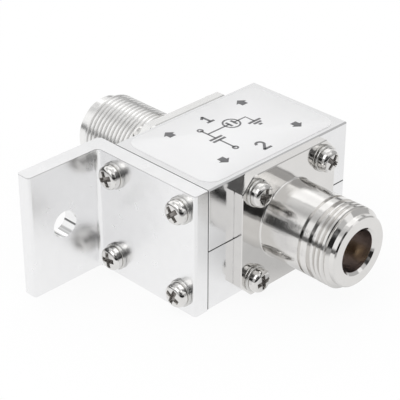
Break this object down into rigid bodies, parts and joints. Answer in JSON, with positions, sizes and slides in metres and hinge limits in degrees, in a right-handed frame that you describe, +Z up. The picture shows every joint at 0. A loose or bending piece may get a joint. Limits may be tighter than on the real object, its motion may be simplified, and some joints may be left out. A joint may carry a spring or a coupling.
{
  "type": "coax lightning arrestor",
  "caption": "Coax surge arrestor: a split metal block with a threaded coax jack at each end, a gas tube and series capacitor inside, and an L mounting bracket.",
  "frame": {"origin": "on the block's flat bottom face, under the coax axis, at the middle of the block's length", "axes": "+X along the coax axis to the equipment jack, -Y to the bracket, +Z up through the label"},
  "size_m": [0.0685, 0.0574, 0.0256],
  "materials": {
    "block_metal": "bright satin plating",
    "bracket_metal": "bright satin plating",
    "jack_metal": "polished nickel plating on turned brass",
    "fastener_steel": "bright stainless steel",
    "washer_steel": "bright stainless steel",
    "label_sheet": "matte printed film",
    "bead_plastic": "waxy white plastic",
    "contact_metal": "gold plating",
    "plate_brass": "bare turned brass",
    "film_plastic": "amber film",
    "tube_ceramic": "bare white ceramic",
    "electrode_metal": "dull nickel plating",
    "spring_steel": "bright spring steel"
  },
  "bodies": {
    "root": {"housing_top": "block_metal", "housing_bottom": "block_metal", "mounting_bracket": "bracket_metal", "equipment_connector": "jack_metal", "antenna_connector": "jack_metal", "bracket_screws": "fastener_steel", "equipment_flange_screws": "fastener_steel", "antenna_flange_screws": "fastener_steel", "bracket_lock_washers": "washer_steel", "equipment_lock_washers": "washer_steel", "antenna_lock_washers": "washer_steel", "label": "label_sheet", "equipment_insulator": "bead_plastic", "antenna_insulator": "bead_plastic", "equipment_contact": "contact_metal", "antenna_contact": "contact_metal", "antenna_coupling_plate": "plate_brass", "equipment_coupling_plate": "plate_brass", "line_tee": "plate_brass", "coupling_film": "film_plastic", "gas_tube_ceramic": "tube_ceramic", "gas_tube_line_electrode": "electrode_metal", "gas_tube_ground_electrode": "electrode_metal", "ground_spring": "spring_steel"}
  },
  "joints": []
}
